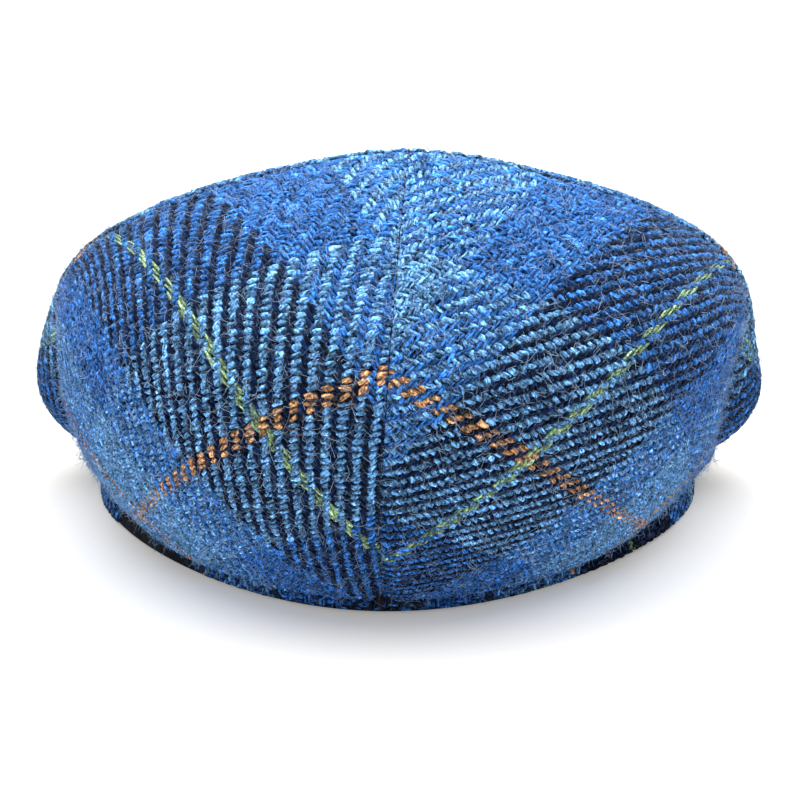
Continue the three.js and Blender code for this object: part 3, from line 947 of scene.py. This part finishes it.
NAP = dict(Density=760000.0, Length=0.0026, Thickness=0.00006,
           Wool=fibre_material("wool_nap", (0.34, 0.55, 0.86), 0.4))
STRANDS = dict(Density=235000.0, Length=0.0048, Thickness=0.00005, Curl=0.0072,
               Wool=fibre_material("wool_strand", (0.52, 0.69, 0.92), 0.75))
short_nap, curly_strands = nap_tree(), strand_tree()
for seed, ((place, share), cloth) in enumerate(zip(FIBRE_SHARE.items(), crown_faces), 3):
    for kind, tree, sizes in (("nap", short_nap, NAP), ("strands", curly_strands, STRANDS)):
        grown = dict(sizes, Seed=seed, Density=sizes["Density"] * share)
        piece = fibres_over(kind + "_" + place, cloth, tree, grown)
        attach(piece, "root")

# Floor, light and camera
# A pale floor under soft white light from above and behind the cap, seen from the back at a low angle.
# All of this is the stage, and no part of the cap.
FLOOR_GLOW = 0.28                 # the floor is lit a little from below, which keeps the shadow pale
FLOOR_REACH = 15.0                # metres, as all sizes of the stage
FLOOR_DROP = 0.0005               # it lies so far below the rim


def floor_material():
    """Smooth white board with a faint unevenness of tone."""
    material, tree, shader = new_material("pale_floor", {
        "Roughness": 0.9, "Specular IOR Level": 0.1,
        "Emission Color": (1.0, 0.98, 0.95, 1.0), "Emission Strength": FLOOR_GLOW,
    })
    place = add_node(tree, "ShaderNodeTexCoord")
    grain = add_node(tree, "ShaderNodeTexNoise", {"Scale": 8.0})
    tone = add_node(tree, "ShaderNodeMix", {"A": (0.93, 0.93, 0.93, 1), "B": (0.95, 0.95, 0.95, 1)},
                    data_type="RGBA")
    link_nodes(
        tree,
        (place, "Object", grain, "Vector"),
        (grain, "Fac", tone, "Factor"),
        (tone, "Result", shader, "Base Color"),
    )
    return material


floor_z = CAP_PLACE[2] * MM - FLOOR_DROP
floor_corners = [(x * FLOOR_REACH, y * FLOOR_REACH, floor_z) for x, y in ((-1, -1), (1, -1), (1, 1), (-1, 1))]
floor_mesh = bpy.data.meshes.new("floor")
floor_mesh.from_pydata(floor_corners, [], [(0, 1, 2, 3)])
floor_mesh.materials.append(floor_material())
floor = bpy.data.objects.new("floor", floor_mesh)
bpy.context.scene.collection.objects.link(floor)

# Soft light from all round, white at the horizon and dimmer overhead
world = bpy.data.worlds.new("studio")
world.use_nodes = True
sky = world.node_tree.nodes["Background"]
sky.inputs["Color"].default_value = (1.0, 0.978, 0.94, 1.0)
direction = add_node(world.node_tree, "ShaderNodeTexCoord")
upwards = add_node(world.node_tree, "ShaderNodeSeparateXYZ")
glow = map_range(world.node_tree, 0.05, 0.20, 1.1, 0.34)
link_nodes(
    world.node_tree,
    (direction, "Generated", upwards, "Vector"),
    (upwards, "Z", glow, "Value"),
    (glow, "Result", sky, "Strength"),
)
bpy.context.scene.world = world


def hang_light(name, lamp, place, aim):
    """Hangs a lamp at a place and turns it towards a point."""
    light = bpy.data.objects.new(name, lamp)
    light.location = Vector(place)
    light.rotation_euler = (Vector(aim) - Vector(place)).to_track_quat("-Z", "Y").to_euler()
    bpy.context.scene.collection.objects.link(light)
    return light


# A soft spot on the upper part of the back panels, which falls on the cap and not on the floor
CROWN_LIGHT_PLACE, CROWN_BACK = (0.0, -0.15, 1.2), (0.0, -0.052, 0.10)
crown_lamp = bpy.data.lights.new("crown_light", "SPOT")
crown_lamp.energy = 95.0
crown_lamp.color = (1.0, 0.95, 0.90)
crown_lamp.spot_size = np.radians(13)
crown_lamp.spot_blend = 1.0
crown_lamp.shadow_soft_size = 0.08
crown_light = hang_light("crown_light", crown_lamp, CROWN_LIGHT_PLACE, CROWN_BACK)
cap_pieces = bpy.data.collections.new("cap_pieces")
for piece in bpy.context.scene.objects:
    if piece.type == "MESH" and piece != floor:
        cap_pieces.objects.link(piece)
crown_light.light_linking.receiver_collection = cap_pieces

# A weak wide light from the left of the camera, and the main one from high above
FILL_PLACE, CAP_MIDDLE = (-0.7, -1.3, 1.0), (0.0, 0.0, 0.05)
SUN_AIM = (0.0, -0.12, -1.0)
front_lamp = bpy.data.lights.new("front_fill", "AREA")
front_lamp.size = 1.0
front_lamp.energy = 2.2
hang_light("front_fill", front_lamp, FILL_PLACE, CAP_MIDDLE)
sun = bpy.data.lights.new("overhead", "SUN")
sun.energy = 3.4
sun.color = (1.0, 0.985, 0.96)
sun.angle = 1.35
hang_light("overhead", sun, (0.0, 0.0, 0.0), SUN_AIM)

CAMERA_PLACE = np.array([18.5, -539.4, 172.4])    # from the middle of the rim
CAMERA_AIM = np.array([3.45, -55.1, 48.8])
lens = bpy.data.cameras.new("camera")
lens.sensor_width = 36.0
lens.lens = 82.3
camera = bpy.data.objects.new("camera", lens)
camera.location = Vector((CAMERA_PLACE + CAP_PLACE) * MM)
camera.rotation_euler = Vector(CAMERA_AIM - CAMERA_PLACE).to_track_quat("-Z", "Y").to_euler()
bpy.context.scene.collection.objects.link(camera)
bpy.context.scene.camera = camera
bpy.context.scene.view_settings.view_transform = "Standard"
